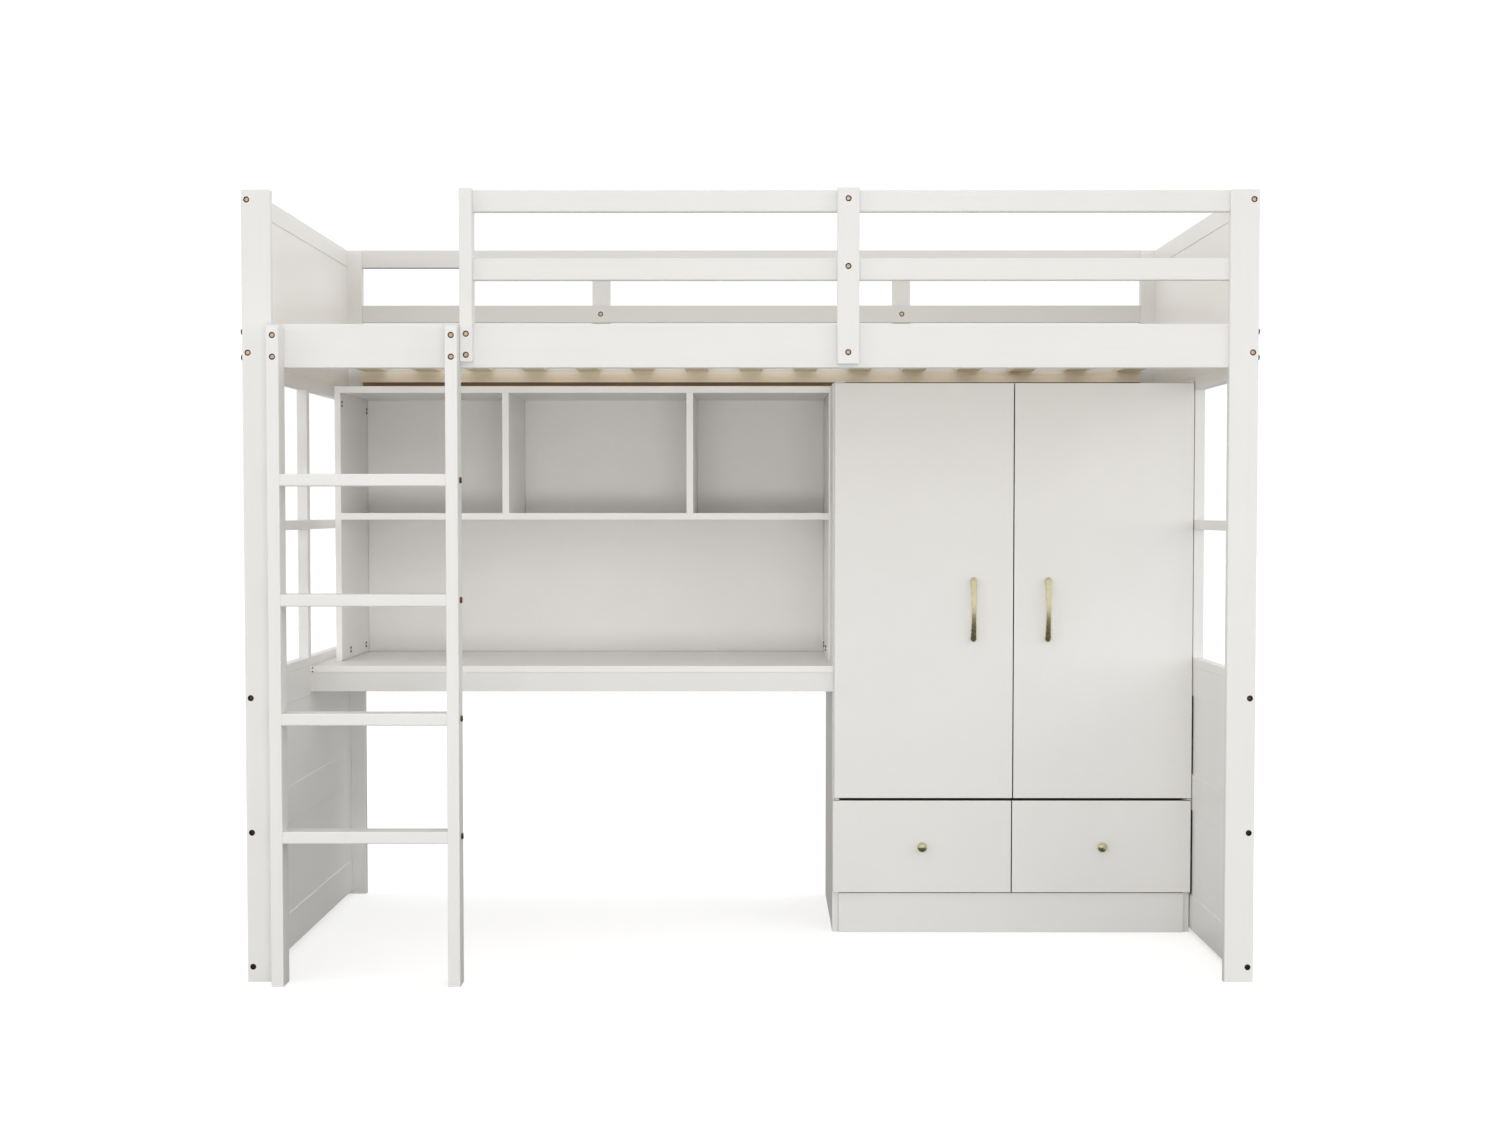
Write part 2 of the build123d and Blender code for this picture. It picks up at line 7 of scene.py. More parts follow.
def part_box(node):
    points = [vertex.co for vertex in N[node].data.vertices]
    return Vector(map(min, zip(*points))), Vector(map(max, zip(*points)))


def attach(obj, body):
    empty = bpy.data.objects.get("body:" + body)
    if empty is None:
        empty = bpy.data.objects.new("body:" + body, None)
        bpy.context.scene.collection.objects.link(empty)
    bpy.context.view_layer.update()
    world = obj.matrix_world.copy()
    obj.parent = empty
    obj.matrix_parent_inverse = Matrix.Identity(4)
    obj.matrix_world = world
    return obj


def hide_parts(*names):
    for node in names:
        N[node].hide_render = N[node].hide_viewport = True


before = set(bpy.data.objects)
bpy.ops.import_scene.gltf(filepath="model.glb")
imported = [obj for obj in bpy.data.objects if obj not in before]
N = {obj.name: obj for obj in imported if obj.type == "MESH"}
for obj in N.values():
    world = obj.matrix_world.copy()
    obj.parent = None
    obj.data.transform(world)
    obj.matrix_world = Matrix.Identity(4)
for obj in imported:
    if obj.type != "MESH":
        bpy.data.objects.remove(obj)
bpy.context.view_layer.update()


# ------------------------------------------------------------------ materials
class Tree:
    """Small helper round one material's node tree."""

    def __init__(self, name):
        self.mat = bpy.data.materials.new(name)
        self.mat.use_nodes = True
        self.t = self.mat.node_tree
        self.t.nodes.clear()
        self.out = self.t.nodes.new("ShaderNodeOutputMaterial")
        self.bsdf = self.t.nodes.new("ShaderNodeBsdfPrincipled")
        self.link(self.bsdf.outputs[0], self.out.inputs[0])
        self.coord = self.t.nodes.new("ShaderNodeTexCoord").outputs["Object"]

    def link(self, a, b):
        self.t.links.new(a, b)

    def new(self, kind, **values):
        n = self.t.nodes.new(kind)
        for k, v in values.items():
            setattr(n, k, v)
        return n

    def scaled(self, sx, sy, sz, rot=(0, 0, 0), loc=(0, 0, 0)):
        m = self.new("ShaderNodeMapping")
        m.inputs["Scale"].default_value = (sx, sy, sz)
        m.inputs["Rotation"].default_value = rot
        m.inputs["Location"].default_value = loc
        self.link(self.coord, m.inputs["Vector"])
        return m.outputs[0]

    def noise(self, vec, scale=1.0, detail=3.0, rough=0.5, distortion=0.0):
        n = self.new("ShaderNodeTexNoise")
        n.inputs["Scale"].default_value = scale
        n.inputs["Detail"].default_value = detail
        n.inputs["Roughness"].default_value = rough
        n.inputs["Distortion"].default_value = distortion
        self.link(vec, n.inputs["Vector"])
        return n.outputs[0]

    def ramp(self, fac, stops, interpolation="LINEAR"):
        r = self.new("ShaderNodeValToRGB")
        r.color_ramp.interpolation = interpolation
        e = r.color_ramp.elements
        while len(e) < len(stops):
            e.new(0.5)
        for i, (p, c) in enumerate(stops):
            e[i].position = p
            e[i].color = (c[0], c[1], c[2], 1.0) if hasattr(c, "__len__") else (c, c, c, 1.0)
        self.link(fac, r.inputs["Fac"])
        return r.outputs["Color"]

    def mix(self, fac, a, b, mode="MIX"):
        m = self.new("ShaderNodeMix", data_type="RGBA", blend_type=mode)
        for sock, v in ((m.inputs[0], fac), (m.inputs[6], a), (m.inputs[7], b)):
            if hasattr(v, "is_linked") or hasattr(v, "node"):
                self.link(v, sock)
            elif hasattr(v, "__len__"):
                sock.default_value = (v[0], v[1], v[2], 1.0)
            else:
                sock.default_value = v
        return m.outputs[2]

    def math(self, op, a, b=0.0, c=0.0, clamp=False):
        m = self.new("ShaderNodeMath", operation=op, use_clamp=clamp)
        for sock, v in zip(m.inputs, (a, b, c)):
            if hasattr(v, "node"):
                self.link(v, sock)
            else:
                sock.default_value = v
        return m.outputs[0]

    def bump(self, height, strength, distance, normal=None):
        b = self.new("ShaderNodeBump")
        b.inputs["Strength"].default_value = strength
        b.inputs["Distance"].default_value = distance
        self.link(height, b.inputs["Height"])
        if normal is not None:
            self.link(normal, b.inputs["Normal"])
        return b.outputs[0]

    def set(self, **values):
        for k, v in values.items():
            s = self.bsdf.inputs[k.replace("_", " ")]
            if hasattr(v, "node"):
                self.link(v, s)
            elif hasattr(v, "__len__"):
                s.default_value = (v[0], v[1], v[2], 1.0)
            else:
                s.default_value = v
        return self


GRAIN = {"X": (0.035, 1.0, 1.0), "Y": (1.0, 0.035, 1.0), "Z": (1.0, 1.0, 0.035)}


def painted_wood(name, axis, base=(0.865, 0.855, 0.838)):
    """White satin paint over planed softwood: the grain telegraphs faintly."""
    m = Tree(name)
    g = GRAIN[axis]
    long_grain = m.noise(m.scaled(*g), 140.0, 5.0, 0.62, 0.4)
    wide = m.noise(m.scaled(g[0] * 1.4, g[1], g[2]), 26.0, 3.0, 0.5, 0.6)
    blotch = m.noise(m.coord, 3.2, 3.0, 0.55)
    peel = m.noise(m.coord, 900.0, 2.0, 0.5)
    tone = m.ramp(blotch, [(0.3, (base[0] * 0.975, base[1] * 0.972, base[2] * 0.965)), (0.7, base)])
    streak = m.ramp(long_grain, [(0.32, 0.982), (0.52, 1.0), (0.75, 0.993)])
    col = m.mix(1.0, tone, streak, "MULTIPLY")
    col = m.mix(0.35, col, m.mix(1.0, tone, m.ramp(wide, [(0.4, 0.985), (0.6, 1.0)]), "MULTIPLY"))
    rough = m.math("MULTIPLY_ADD", long_grain, 0.10, 0.36)
    h = m.math("MULTIPLY_ADD", peel, 0.35, m.math("MULTIPLY", long_grain, 1.0))
    m.set(Base_Color=col, Roughness=rough, Normal=m.bump(h, 0.35, 0.00035))
    m.bsdf.inputs["Specular IOR Level"].default_value = 0.42
    m.bsdf.inputs["Coat Weight"].default_value = 0.08
    m.bsdf.inputs["Coat Roughness"].default_value = 0.25
    return m.mat


def faced_board(name, base=(0.856, 0.845, 0.824), rough0=0.40):
    """White melamine faced board with its faint embossed pore."""
    m = Tree(name)
    pore = m.noise(m.scaled(1.0, 1.0, 0.16), 620.0, 4.0, 0.6)
    mottle = m.noise(m.coord, 5.5, 4.0, 0.6)
    fine = m.noise(m.coord, 260.0, 3.0, 0.55)
    tone = m.ramp(mottle, [(0.28, (base[0] * 0.98, base[1] * 0.978, base[2] * 0.972)), (0.72, base)])
    col = m.mix(1.0, tone, m.ramp(fine, [(0.3, 0.985), (0.7, 1.0)]), "MULTIPLY")
    rough = m.math("MULTIPLY_ADD", pore, 0.12, rough0)
    h = m.math("MULTIPLY_ADD", pore, 1.0, m.math("MULTIPLY", fine, 0.5))
    m.set(Base_Color=col, Roughness=rough, Normal=m.bump(h, 0.22, 0.00025))
    m.bsdf.inputs["Specular IOR Level"].default_value = 0.4
    return m.mat


def pine(name, axis, gain=1.0, green=1.0):
    """Bare planed pine: growth rings cut lengthwise, knots, open fibre."""
    m = Tree(name)
    g = GRAIN[axis]
    vec = m.scaled(*g)
    warp = m.noise(vec, 9.0, 4.0, 0.55, 0.8)
    rings = m.new("ShaderNodeTexWave", wave_type="BANDS", bands_direction={"X": "Y", "Y": "X", "Z": "X"}[axis],
                  wave_profile="SAW")
    rings.inputs["Scale"].default_value = 42.0
    rings.inputs["Distortion"].default_value = 9.0
    rings.inputs["Detail"].default_value = 3.0
    rings.inputs["Detail Scale"].default_value = 0.8
    m.link(vec, rings.inputs["Vector"])
    fibre = m.noise(vec, 420.0, 4.0, 0.65)

    def tint(*c):
        return tuple(min(0.97, v * gain * k) for v, k in zip(c, (1.0, green, 1.0)))

    early, late = tint(0.83, 0.75, 0.595), tint(0.72, 0.59, 0.41)
    col = m.ramp(rings.outputs["Fac"], [(0.0, early), (0.62, tint(0.80, 0.715, 0.55)), (0.93, late), (1.0, early)])
    col = m.mix(0.45, col, m.ramp(warp, [(0.3, tint(0.77, 0.68, 0.51)), (0.7, tint(0.85, 0.775, 0.63))]))
    col = m.mix(1.0, col, m.ramp(fibre, [(0.25, 0.9), (0.6, 1.0)]), "MULTIPLY")
    knot = m.new("ShaderNodeTexVoronoi", feature="F1", distance="EUCLIDEAN")
    knot.inputs["Scale"].default_value = 3.1
    knot.inputs["Randomness"].default_value = 1.0
    kv = m.scaled(*{"X": (0.6, 1.6, 1.6), "Y": (1.6, 0.6, 1.6), "Z": (1.6, 1.6, 0.6)}[axis])
    m.link(kv, knot.inputs["Vector"])
    kf = m.ramp(knot.outputs["Distance"], [(0.0, 1.0), (0.035, 0.9), (0.055, 0.35), (0.10, 0.0)])
    col = m.mix(m.math("MULTIPLY", kf, 0.75), col, (0.42, 0.27, 0.15))
    rough = m.math("MULTIPLY_ADD", fibre, 0.18, 0.52)
    h = m.math("MULTIPLY_ADD", fibre, 0.6, m.math("MULTIPLY", rings.outputs["Fac"], 0.4))
    m.set(Base_Color=col, Roughness=rough, Normal=m.bump(h, 0.45, 0.0005))
    m.bsdf.inputs["Specular IOR Level"].default_value = 0.35
    return m.mat


def metal(name, base, dark, rough0, axis="Z", brushed=0.5, grain=900.0, metallic=1.0):
    m = Tree(name)
    vec = m.scaled(*{"X": (0.05, 1, 1), "Y": (1, 0.05, 1), "Z": (1, 1, 0.05)}[axis])
    lines = m.noise(vec, grain, 3.0, 0.6)
    cloud = m.noise(m.coord, 55.0, 3.0, 0.6)
    col = m.ramp(cloud, [(0.3, dark), (0.7, base)])
    col = m.mix(1.0, col, m.ramp(lines, [(0.3, 0.93), (0.7, 1.0)]), "MULTIPLY")
    rough = m.math("MULTIPLY_ADD", lines, 0.16, rough0)
    m.set(Base_Color=col, Roughness=rough, Normal=m.bump(lines, brushed, 0.00008))
    m.bsdf.inputs["Metallic"].default_value = metallic
    return m.mat


# one white paint in lit and shaded copies: the ends' copy is lighter as painted light, the back rails' copy darker
# as painted shade, and the back posts' copy a little lighter as painted light
PAINT = {a: painted_wood("painted_wood_" + a, a, (0.826, 0.817, 0.800)) for a in "XYZ"}
ENDS_LIT_PAINT = painted_wood("lit_copy_paint_ends", "Y", (0.898, 0.890, 0.874))
BACK_RAILS_SHADED_PAINT = painted_wood("shaded_copy_paint_back_rails", "X", (0.766, 0.760, 0.747))
BACK_POSTS_LIT_PAINT = painted_wood("lit_copy_paint_back_posts", "Z", (0.842, 0.834, 0.816))
BOARD = faced_board("faced_board")
# painted light: the hutch and the desk top use a lighter copy of the faced board
LIT_HUTCH_BOARD = faced_board("lit_copy_faced_board_hutch", (0.928, 0.914, 0.894))
BOARD_IN = faced_board("faced_board_inner", (0.835, 0.818, 0.785), 0.45)
# painted light: the ledgers' pine is the slats' pine raised 1.27 times, with its green a little lower
PINE_X = pine("pine_x", "X", 1.27, 0.955)


def darken_where(mat, factor, *zones):
    """Multiply the colour darker in narrow zones: painted shade in gaps, slits and under a step, and darker bolt
    heads low down.  A zone is a list of (axis, centre, half width) in the node's own coordinates."""
    t = mat.node_tree
    bsdf = t.nodes["Principled BSDF"]
    src = bsdf.inputs["Base Color"].links[0].from_socket
    sep = t.nodes.new("ShaderNodeSeparateXYZ")
    t.links.new(next(n for n in t.nodes if n.type == "TEX_COORD").outputs["Object"], sep.inputs[0])

    def op(kind, u, v, w=0.0):
        n = t.nodes.new("ShaderNodeMath")
        n.operation = kind
        for sock, val in zip(n.inputs, (u, v, w)):
            if hasattr(val, "node"):
                t.links.new(val, sock)
            else:
                sock.default_value = val
        return n.outputs[0]

    total = None
    for zone in zones:
        one = None
        for axis, centre, half in zone:
            c = op("COMPARE", sep.outputs[axis], centre, half)
            one = c if one is None else op("MULTIPLY", one, c)
        total = one if total is None else op("MAXIMUM", total, one)
    m = t.nodes.new("ShaderNodeMix")
    m.data_type = "RGBA"
    m.blend_type = "MULTIPLY"
    m.inputs[7].default_value = (factor[0], factor[1], factor[2], 1.0)
    t.links.new(total, m.inputs[0])
    t.links.new(src, m.inputs[6])
    t.links.new(m.outputs[2], bsdf.inputs["Base Color"])


# painted shade: the ledgers' lower step, z 1.2007 to 1.2393 m, is drawn dark brown as the shadow under the step
darken_where(PINE_X, (0.40, 0.31, 0.24), [("Z", 1.2200, 0.0193)])
PINE_Y = pine("pine_y", "Y")
BRASS = metal("pale_brass", (0.76, 0.715, 0.47), (0.68, 0.63, 0.395), 0.20)
COPPER = metal("copper_bolt", (0.84, 0.625, 0.44), (0.66, 0.455, 0.30), 0.24, brushed=0.3)
COPPER_LADDER = metal("copper_ladder_bolt", (0.84, 0.625, 0.44), (0.66, 0.455, 0.30), 0.24, brushed=0.3)
# the proud heads in the rungs' ends, below 1.2 m, are drawn darker than the copper above
darken_where(COPPER_LADDER, (0.24, 0.165, 0.12), [("Z", 0.60, 0.60)])
DARK = metal("dark_bolt", (0.185, 0.125, 0.098), (0.120, 0.078, 0.060), 0.38, brushed=0.3, metallic=0.8)
CAP = faced_board("cap_brown", (0.022, 0.015, 0.011), 0.42)
CAP.node_tree.nodes["Principled BSDF"].inputs["Specular IOR Level"].default_value = 0.15
BLACK = faced_board("blackened_steel", (0.028, 0.026, 0.026), 0.5)
BLACK.node_tree.nodes["Principled BSDF"].inputs["Specular IOR Level"].default_value = 0.25
# bronze_cup_painted_shade and dark_cup_painted_shade are far darker than the copper: real finishing cups whose
# dark colour is painted shade of the counterbore ring round each head
CUP = metal("bronze_cup_painted_shade", (0.165, 0.076, 0.034), (0.085, 0.036, 0.015), 0.36, brushed=0.3, metallic=0.85)
DARK_CUP = metal("dark_cup_painted_shade", (0.088, 0.048, 0.034), (0.056, 0.030, 0.022), 0.42, brushed=0.3, metallic=0.6)
# the two lower bolts of each post are blacker than the brown one above them
darken_where(DARK, (0.52, 0.60, 0.64), [("Z", 0.20, 0.25)])
darken_where(DARK_CUP, (0.38, 0.50, 0.53), [("Z", 0.20, 0.25)])
ZINC = metal("zinc_runner", (0.60, 0.61, 0.62), (0.50, 0.51, 0.53), 0.28, axis="Y")
CHROME = metal("rod_chrome", (0.72, 0.73, 0.75), (0.66, 0.67, 0.70), 0.12, axis="X", brushed=0.1)
HINGE = faced_board("hinge_white", (0.84, 0.84, 0.83), 0.3)


def dress(mat, *names):
    for n in names:
        o = N[n]
        o.data.materials.clear()
        o.data.materials.append(mat)


dress(PAINT["Z"], "post_front_left", "post_front_right", "guard_end_post", "guard_center_board",
      "ladder_left_stile", "ladder_right_stile")
dress(PAINT["X"], "front_bed_rail", "guard_top_rail", "guard_lower_rail", "ladder_rungs")
dress(BACK_RAILS_SHADED_PAINT, "back_bed_rail", "back_guard_rails")
dress(BACK_POSTS_LIT_PAINT, "post_back_left", "post_back_right", "back_guard_supports")
dress(ENDS_LIT_PAINT, "left_end_rails", "right_end_rails", "left_end_panels", "right_end_panels",
      "left_window_bars", "right_window_bars")
dress(PINE_X, "slat_ledgers")
dress(PINE_Y, "bed_slats")
dress(LIT_HUTCH_BOARD, "desk_top", "hutch_left_side", "hutch_right_side", "hutch_top", "hutch_shelf",
      "hutch_dividers", "hutch_back")
dress(BOARD, "desk_frame", "wardrobe_left_side", "wardrobe_right_side", "wardrobe_top",
      "wardrobe_deck", "wardrobe_base", "wardrobe_partition", "wardrobe_plinth",
      "left_door", "right_door", "left_drawer_front", "right_drawer_front")
dress(BOARD_IN, "wardrobe_back", "left_drawer_box", "right_drawer_box")
dress(BRASS, "left_handle", "right_handle", "left_drawer_knob", "right_drawer_knob")
dress(COPPER, "upper_frame_bolts")
dress(COPPER_LADDER, "ladder_bolts")
dress(DARK, "lower_frame_bolts")
dress(BLACK, "side_frame_bolts")
dress(CAP, "hutch_screws")
dress(ZINC, "cabinet_runners", "left_drawer_runners", "right_drawer_runners")
dress(CHROME, "hanging_rod")
dress(HINGE, "door_pivot_plates")

# painted shade: the door and drawer edges inside the narrow gaps, and the seldom seen undersides, are drawn near
# black for the shade in the gaps
GAP_SHADED_FRONTS = faced_board("faced_board_fronts_gap_shade")
IN = ("Y", 0.0133, 0.0070)
darken_where(GAP_SHADED_FRONTS, (0.26, 0.24, 0.22),
          [("X", 0.5764, 0.00145), ("Z", 0.7600, 0.4620), IN],
          [("X", 0.5743, 0.00145), ("Z", 0.1900, 0.1040), IN],
          [("Z", 0.2938, 0.0004), IN])
dress(GAP_SHADED_FRONTS, "left_door", "right_door", "left_drawer_front", "right_drawer_front")
# painted shade: the front edges of the wardrobe deck and partition, seen through the gaps, are drawn dark brown
# for the shade behind the gaps
SHADED_FRONT_EDGE_BOARD = faced_board("faced_board_shaded_front_edge")
darken_where(SHADED_FRONT_EDGE_BOARD, (0.20, 0.15, 0.11), [("Y", 0.0575, 0.0004)])
dress(SHADED_FRONT_EDGE_BOARD, "wardrobe_deck", "wardrobe_partition")
# a thin dark line is drawn along the back guard rails at z 1.515 m
darken_where(BACK_RAILS_SHADED_PAINT, (0.38, 0.36, 0.33), [("Z", 1.5150, 0.0007)])
# painted shade: near-black strips on the end panels' inner face beside the wardrobe, at the drawer and door
# heights, stand for the shadow in the slit
darken_where(ENDS_LIT_PAINT, (0.10, 0.10, 0.09), [("X", 0.9730, 0.0003), ("Y", 0.0183, 0.0083), ("Z", 0.1800, 0.0940)],
          [("X", 0.9730, 0.0003), ("Y", 0.0183, 0.0083), ("Z", 0.4385, 0.0860)])

# ------------------------------------------------------------------ fittings
def piece(name, verts, faces, mat, body, node, slot):
    """A fitting in smooth mesh code that stands for one CAD node."""
    me = bpy.data.meshes.new(name)
    me.from_pydata(verts, [], faces)
    bm = bmesh.new()
    bm.from_mesh(me)
    bmesh.ops.remove_doubles(bm, verts=bm.verts, dist=1e-6)
    bmesh.ops.dissolve_degenerate(bm, edges=bm.edges, dist=1e-7)
    bmesh.ops.recalc_face_normals(bm, faces=bm.faces)
    for f in bm.faces:
        f.smooth = True
    bm.to_mesh(me)
    bm.free()
    me.materials.append(mat)
    ob = bpy.data.objects.new(name, me)
    bpy.context.scene.collection.objects.link(ob)
    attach(ob, body)
    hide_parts(node)
    return ob


def loft(rings, closed_ends=True):
    verts, faces = [], []
    n = len(rings[0])
    for r in rings:
        verts += r
    for i in range(len(rings) - 1):
        for j in range(n):
            a, b = i * n + j, i * n + (j + 1) % n
            faces.append((a, b, b + n, a + n))
    if closed_ends:
        faces.append(tuple(range(n))[::-1])
        faces.append(tuple((len(rings) - 1) * n + j for j in range(n)))
    return verts, faces


def join(*parts):
    verts, faces = [], []
    for v, f in parts:
        k = len(verts)
        verts += v
        faces += [tuple(i + k for i in q) for q in f]
    return verts, faces


def lathe(profile, place, n=96):
    """Turn (radius, out) pairs about the axis that points out of the front."""
    rings = []
    for r, out in profile:
        rings.append([place(r * math.cos(2 * math.pi * j / n), out, r * math.sin(2 * math.pi * j / n))
                      for j in range(n)])
    return loft(rings)


def arc_through(p0, p1, p2):
    """Centre and radius of the circle through three (out, z) points."""
    ax, ay, bx, by, cx, cy = p0[0], p0[1], p1[0], p1[1], p2[0], p2[1]
    d = 2 * (ax * (by - cy) + bx * (cy - ay) + cx * (ay - by))
    ux = ((ax * ax + ay * ay) * (by - cy) + (bx * bx + by * by) * (cy - ay) + (cx * cx + cy * cy) * (ay - by)) / d
    uy = ((ax * ax + ay * ay) * (cx - bx) + (bx * bx + by * by) * (ax - cx) + (cx * cx + cy * cy) * (bx - ax)) / d
    return ux, uy, math.hypot(ax - ux, ay - uy)


def bow_pull(x, face, z0, z1):
    """Bowed strap with round ends on two turned posts; face is the door's Y."""
    zm, half = (z0 + z1) / 2, (z1 - z0) / 2
    cx, cz, cr = arc_through((0.0125, z0), (0.0245, zm), (0.0125, z1))
    wx, wz, wr = arc_through((0.0069, z0 + 0.0069), (0.0052, zm), (0.0069, z1 - 0.0069))
    rings = []
    stations = []
    for i in range(13):
        stations.append(half - 0.0069 * (1 - math.cos(math.pi / 2 * i / 12)))
    for i in range(1, 48):
        stations.append((half - 0.0069) * (1 - 2 * i / 48))
    stations += [-t for t in reversed(stations[:13])]
    for t in stations:
        z = zm + t
        outer = cx + math.sqrt(cr * cr - (z - cz) ** 2)
        inner = outer - 0.005
        if abs(t) > half - 0.0069:
            w = math.sqrt(max(1e-10, 0.0069 ** 2 - (abs(t) - half + 0.0069) ** 2))
        else:
            w = wx - math.copysign(math.sqrt(wr * wr - (z - wz) ** 2), wx)
            w = abs(w)
        slope = -(z - cz) / math.sqrt(cr * cr - (z - cz) ** 2)
        k = min(1.0, w / 0.0052)
        rf, rb = 0.0019 * k, 0.0011 * k
        crown = 0.00045 * k
        ring = []
        for sx, r, out in ((1, rf, outer), (1, rb, inner), (-1, rb, inner), (-1, rf, outer)):
            front = out == outer
            order = range(7)
            for q in order:
                a = math.pi / 2 * q / 6
                if sx > 0 and front:
                    px, po = w - r + r * math.sin(a), out - r + r * math.cos(a)
                elif sx > 0:
                    px, po = w - r + r * math.cos(a), out + r - r * math.sin(a)
                elif not front:
                    px, po = -(w - r + r * math.sin(a)), out + r - r * math.cos(a)
                else:
                    px, po = -(w - r + r * math.cos(a)), out - r + r * math.sin(a)
                if front:
                    po -= crown * (px / max(w, 1e-6)) ** 2
                ring.append((x + px, face - po, z))
        rings.append(ring)
    strap = loft(rings)
    posts = []
    for zz in (zm - 0.0636, zm + 0.0636):
        profile = [(0.0001, 0.0), (0.0046, 0.0), (0.0046, 0.0006), (0.0042, 0.0011), (0.0036, 0.0016),
                   (0.0035, 0.0022), (0.0035, 0.0095), (0.0037, 0.0105), (0.0040, 0.0112), (0.0040, 0.0118)]
        posts.append(lathe(profile, lambda u, o, v: (x + u, face - o, zz + v), 40))
    return join(strap, *posts)


def mushroom(x, face, z):
    """Turned mushroom knob; its highest point is 22 mm off the drawer front."""
    profile = [(0.0001, 0.0), (0.0062, 0.0), (0.0065, 0.0003), (0.0065, 0.0011), (0.0061, 0.0016),
               (0.0050, 0.0020), (0.0042, 0.0030), (0.0040, 0.0045), (0.0040, 0.0080), (0.0043, 0.0096),
               (0.0052, 0.0112), (0.0068, 0.0124), (0.0086, 0.0132), (0.0098, 0.0137), (0.0104, 0.0142),
               (0.01065, 0.0148), (0.01075, 0.0155), (0.01068, 0.0163), (0.0104, 0.0171)]
    for i in range(1, 15):
        a = math.asin(0.0101 / 0.013256) * (1 - i / 14.0)
        profile.append((max(0.00005, 0.013256 * math.sin(a)), 0.008744 + 0.013256 * math.cos(a)))
    return lathe(profile, lambda u, o, v: (x + u, face - o, z + v))


def components(ob):
    """Boxes of the separate solids in one CAD node."""
    bm = bmesh.new()
    bm.from_mesh(ob.data)
    bmesh.ops.remove_doubles(bm, verts=bm.verts, dist=1e-5)
    seen, boxes = set(), []
    for v in bm.verts:
        if v.index in seen:
            continue
        stack, pts = [v], []
        seen.add(v.index)
        while stack:
            u = stack.pop()
            pts.append(u.co.copy())
            for e in u.link_edges:
                w = e.other_vert(u)
                if w.index not in seen:
                    seen.add(w.index)
                    stack.append(w)
        boxes.append(([min(p[i] for p in pts) for i in range(3)], [max(p[i] for p in pts) for i in range(3)]))
    bm.free()
    return boxes


def cups(name, node, radius, lip, mat=None, recess=0.001, bearing=0.0034):
    """Finishing cups round the recessed bolt heads, seen from front and back.
    The head lies recess behind the wood's face, and the counterbore is bearing deep."""
    parts = []
    floor = bearing - 0.0003
    for low, high in components(N[node]):
        cx, cz = (low[0] + high[0]) / 2, (low[2] + high[2]) / 2
        length = high[1] - low[1]
        if high[0] - low[0] > 0.012 or length < 0.02:
            continue
        front = None
        for face, sgn in ((low[1], 1), (high[1], -1)):
            # the head end is the wide one; the cup lies round it, sunk in the bore
            wide = [v.co for v in N[node].data.vertices
                    if abs(v.co.x - cx) < 0.006 and abs(v.co.z - cz) < 0.006
                    and abs(v.co.y - face) < 0.0015]
            if wide and max(math.hypot(c.x - cx, c.z - cz) for c in wide) > 0.0032:
                front = (face, sgn)
        if front is None:
            continue
        face, sgn = front
        # (radius, depth behind the wood's face) round the cup's section
        prof = [(radius - 0.00004, lip), (radius - 0.0003, lip - 0.00028), (radius - 0.0006, lip - 0.0002),
                (0.00472, recess + 0.0006), (0.00456, recess + 0.0011), (0.00450, floor - 0.0003),
                (0.00452, floor), (radius - 0.00004, floor)]
        n = 40
        rings = [[(cx + r * math.cos(2 * math.pi * j / n), face + sgn * (o - recess), cz + r * math.sin(2 * math.pi * j / n))
                  for j in range(n)] for r, o in prof]
        verts, faces = [], []
        for r in rings:
            verts += r
        for i in range(len(rings)):
            for j in range(n):
                a, b = i * n + j, i * n + (j + 1) % n
                k = ((i + 1) % len(rings)) * n
                faces.append((a, b, k + (j + 1) % n, k + j))
        parts.append((verts, faces))
    me_v, me_f = join(*parts)
    me = bpy.data.meshes.new(name)
    me.from_pydata(me_v, [], me_f)
    for p in me.polygons:
        p.use_smooth = True
    me.materials.append(mat or CUP)
    ob = bpy.data.objects.new(name, me)
    bpy.context.scene.collection.objects.link(ob)
    bm = bmesh.new()
    bm.from_mesh(me)
    bmesh.ops.recalc_face_normals(bm, faces=bm.faces)
    bm.to_mesh(me)
    bm.free()
    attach(ob, "root")
    print(name, len(parts), "cups")
    return ob


cups("upper_bolt_cups", "upper_frame_bolts", 0.006, 0.0004)
cups("ladder_bolt_cups", "ladder_bolts", 0.006, 0.0004)
cups("lower_bolt_cups", "lower_frame_bolts", 0.006, 0.0006, DARK_CUP, 0.004, 0.007)
for side in ("left", "right"):
    (x0, y0, z0), (x1, y1, z1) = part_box(side + "_handle")
    piece(side + "_pull", *bow_pull((x0 + x1) / 2, y1, z0, z1), BRASS, side + "_door", side + "_handle", "brass")
    (x0, y0, z0), (x1, y1, z1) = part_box(side + "_drawer_knob")
    piece(side + "_knob", *mushroom((x0 + x1) / 2, y1, (z0 + z1) / 2), BRASS, side + "_drawer",
          side + "_drawer_knob", "brass")

# ------------------------------------------------------------------ stage
floor_mesh = bpy.data.meshes.new("floor")
S = 40.0
floor_mesh.from_pydata([(-S, -S, 0), (S, -S, 0), (S, S, 0), (-S, S, 0)], [], [(0, 1, 2, 3)])
floor = bpy.data.objects.new("floor", floor_mesh)
bpy.context.scene.collection.objects.link(floor)
fm = Tree("floor_pale")
fm.set(Base_Color=fm.ramp(fm.noise(fm.coord, 1.5, 2.0), [(0.3, (0.44, 0.44, 0.44)), (0.7, (0.46, 0.46, 0.46))]),
       Roughness=0.9)
fm.bsdf.inputs["Specular IOR Level"].default_value = 0.1
